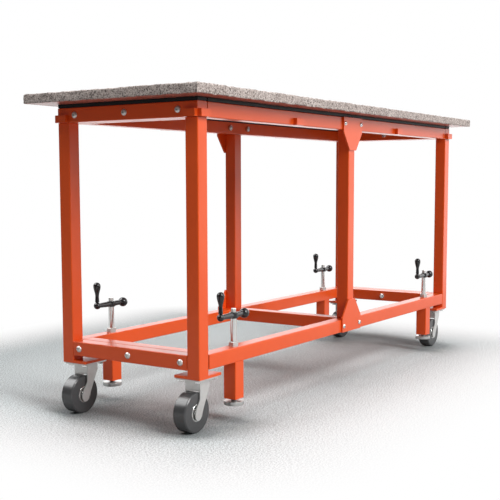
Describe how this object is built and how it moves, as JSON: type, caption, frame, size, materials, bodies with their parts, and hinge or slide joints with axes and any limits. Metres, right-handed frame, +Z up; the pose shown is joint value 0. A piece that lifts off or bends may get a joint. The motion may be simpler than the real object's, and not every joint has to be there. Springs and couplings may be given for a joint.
{
  "type": "stone fabrication table",
  "caption": "Mobile stone-working bench: orange square-tube knock-down frame with a rough granite top on rubber strips, swivel casters and crank-screw levelling jacks.",
  "frame": {"origin": "on the floor, under the middle of the table", "axes": "+X along the length, towards the end away from the cranks' grips; +Y across the width; +Z up"},
  "size_m": [1.702, 0.564, 0.8431],
  "materials": {
    "orange_paint": "glossy orange-red powder coat",
    "granite": "rough split grey-pink granite",
    "rubber_strip": "matt black rubber",
    "wheel_tread": "dark grey solid polyurethane",
    "caster_steel": "dull zinc-plated pressed steel",
    "foot_steel": "turned bright steel",
    "zinc_steel": "zinc-plated steel",
    "black_enamel": "black enamelled casting",
    "black_grip": "glossy black moulding"
  },
  "bodies": {
    "frame": {"caster_top_plate_back_left": "caster_steel", "caster_top_plate_back_right": "caster_steel", "caster_top_plate_front_left": "caster_steel", "caster_top_plate_front_right": "caster_steel", "leg_back_left": "orange_paint", "leg_back_right": "orange_paint", "leg_front_left": "orange_paint", "leg_front_right": "orange_paint", "lower_cross_tube_left": "orange_paint", "lower_cross_tube_right": "orange_paint", "lower_end_rail_left": "orange_paint", "lower_end_rail_right": "orange_paint", "lower_side_rail_back_left": "orange_paint", "lower_side_rail_back_right": "orange_paint", "lower_side_rail_front_left": "orange_paint", "lower_side_rail_front_right": "orange_paint", "mid_cross_rail": "orange_paint", "mid_leg_back": "orange_paint", "mid_leg_front": "orange_paint", "rubber_strip_back_left": "rubber_strip", "rubber_strip_back_right": "rubber_strip", "rubber_strip_front_left": "rubber_strip", "rubber_strip_front_right": "rubber_strip", "rubber_strip_left": "rubber_strip", "rubber_strip_right": "rubber_strip", "stone_top": "granite", "upper_cross_tube_left": "orange_paint", "upper_cross_tube_right": "orange_paint", "upper_end_rail_left": "orange_paint", "upper_end_rail_right": "orange_paint", "upper_side_rail_back_left": "orange_paint", "upper_side_rail_back_right": "orange_paint", "upper_side_rail_front_left": "orange_paint", "upper_side_rail_front_right": "orange_paint"},
    "caster_swivel_front_left": {"caster_fork_front_left": "caster_steel"},
    "caster_wheel_front_left": {"caster_wheel_front_left": "wheel_tread"},
    "caster_swivel_front_right": {"caster_fork_front_right": "caster_steel"},
    "caster_wheel_front_right": {"caster_wheel_front_right": "wheel_tread"},
    "caster_swivel_back_left": {"caster_fork_back_left": "caster_steel"},
    "caster_wheel_back_left": {"caster_wheel_back_left": "wheel_tread"},
    "caster_swivel_back_right": {"caster_fork_back_right": "caster_steel"},
    "caster_wheel_back_right": {"caster_wheel_back_right": "wheel_tread"},
    "jack_foot_front_left": {"jack_foot_front_left": "foot_steel"},
    "jack_screw_front_left": {"jack_screw_front_left": "zinc_steel", "crank_arm_front_left": "black_enamel"},
    "crank_grip_front_left": {"crank_grip_front_left": "black_grip"},
    "jack_foot_front_right": {"jack_foot_front_right": "foot_steel"},
    "jack_screw_front_right": {"jack_screw_front_right": "zinc_steel", "crank_arm_front_right": "black_enamel"},
    "crank_grip_front_right": {"crank_grip_front_right": "black_grip"},
    "jack_foot_back_left": {"jack_foot_back_left": "foot_steel"},
    "jack_screw_back_left": {"jack_screw_back_left": "zinc_steel", "crank_arm_back_left": "black_enamel"},
    "crank_grip_back_left": {"crank_grip_back_left": "black_grip"},
    "jack_foot_back_right": {"jack_foot_back_right": "foot_steel"},
    "jack_screw_back_right": {"jack_screw_back_right": "zinc_steel", "crank_arm_back_right": "black_enamel"},
    "crank_grip_back_right": {"crank_grip_back_right": "black_grip"}
  },
  "joints": [
    {"name": "swivel_front_left", "type": "hinge", "parent": "frame", "child": "caster_swivel_front_left", "pos_m": [-0.735, -0.1881, 0.12], "axis": [0, 0, 1], "continuous": true},
    {"name": "wheel_spin_front_left", "type": "hinge", "parent": "caster_swivel_front_left", "child": "caster_wheel_front_left", "pos_m": [-0.7615, -0.1881, 0.0508], "axis": [0, 1, 0], "continuous": true},
    {"name": "swivel_front_right", "type": "hinge", "parent": "frame", "child": "caster_swivel_front_right", "pos_m": [0.735, -0.1881, 0.12], "axis": [0, 0, 1], "continuous": true},
    {"name": "wheel_spin_front_right", "type": "hinge", "parent": "caster_swivel_front_right", "child": "caster_wheel_front_right", "pos_m": [0.7085, -0.1881, 0.0508], "axis": [0, 1, 0], "continuous": true},
    {"name": "swivel_back_left", "type": "hinge", "parent": "frame", "child": "caster_swivel_back_left", "pos_m": [-0.735, 0.1881, 0.12], "axis": [0, 0, 1], "continuous": true},
    {"name": "wheel_spin_back_left", "type": "hinge", "parent": "caster_swivel_back_left", "child": "caster_wheel_back_left", "pos_m": [-0.7615, 0.1881, 0.0508], "axis": [0, 1, 0], "continuous": true},
    {"name": "swivel_back_right", "type": "hinge", "parent": "frame", "child": "caster_swivel_back_right", "pos_m": [0.735, 0.1881, 0.12], "axis": [0, 0, 1], "continuous": true},
    {"name": "wheel_spin_back_right", "type": "hinge", "parent": "caster_swivel_back_right", "child": "caster_wheel_back_right", "pos_m": [0.7085, 0.1881, 0.0508], "axis": [0, 1, 0], "continuous": true},
    {"name": "foot_slide_front_left", "type": "slide", "parent": "frame", "child": "jack_foot_front_left", "axis": [0, 0, -1], "range_m": [0, 0.0508]},
    {"name": "crank_turn_front_left", "type": "hinge", "parent": "jack_foot_front_left", "child": "jack_screw_front_left", "pos_m": [-0.6075, -0.20955, 0.275], "axis": [0, 0, -1], "range_deg": [0, 5760]},
    {"name": "grip_spin_front_left", "type": "hinge", "parent": "jack_screw_front_left", "child": "crank_grip_front_left", "pos_m": [-0.664, -0.20955, 0.31], "axis": [0, 0, 1], "continuous": true},
    {"name": "foot_slide_front_right", "type": "slide", "parent": "frame", "child": "jack_foot_front_right", "axis": [0, 0, -1], "range_m": [0, 0.0508]},
    {"name": "crank_turn_front_right", "type": "hinge", "parent": "jack_foot_front_right", "child": "jack_screw_front_right", "pos_m": [0.6075, -0.20955, 0.275], "axis": [0, 0, -1], "range_deg": [0, 5760]},
    {"name": "grip_spin_front_right", "type": "hinge", "parent": "jack_screw_front_right", "child": "crank_grip_front_right", "pos_m": [0.551, -0.20955, 0.31], "axis": [0, 0, 1], "continuous": true},
    {"name": "foot_slide_back_left", "type": "slide", "parent": "frame", "child": "jack_foot_back_left", "axis": [0, 0, -1], "range_m": [0, 0.0508]},
    {"name": "crank_turn_back_left", "type": "hinge", "parent": "jack_foot_back_left", "child": "jack_screw_back_left", "pos_m": [-0.6075, 0.20955, 0.275], "axis": [0, 0, -1], "range_deg": [0, 5760]},
    {"name": "grip_spin_back_left", "type": "hinge", "parent": "jack_screw_back_left", "child": "crank_grip_back_left", "pos_m": [-0.664, 0.20955, 0.31], "axis": [0, 0, 1], "continuous": true},
    {"name": "foot_slide_back_right", "type": "slide", "parent": "frame", "child": "jack_foot_back_right", "axis": [0, 0, -1], "range_m": [0, 0.0508]},
    {"name": "crank_turn_back_right", "type": "hinge", "parent": "jack_foot_back_right", "child": "jack_screw_back_right", "pos_m": [0.6075, 0.20955, 0.275], "axis": [0, 0, -1], "range_deg": [0, 5760]},
    {"name": "grip_spin_back_right", "type": "hinge", "parent": "jack_screw_back_right", "child": "crank_grip_back_right", "pos_m": [0.551, 0.20955, 0.31], "axis": [0, 0, 1], "continuous": true}
  ],
  "couplings": [
    {"joint": "foot_slide_front_left", "follows": "crank_turn_front_left", "m_per_rad": 0.00050532},
    {"joint": "foot_slide_front_right", "follows": "crank_turn_front_right", "m_per_rad": 0.00050532},
    {"joint": "foot_slide_back_left", "follows": "crank_turn_back_left", "m_per_rad": 0.00050532},
    {"joint": "foot_slide_back_right", "follows": "crank_turn_back_right", "m_per_rad": 0.00050532}
  ]
}
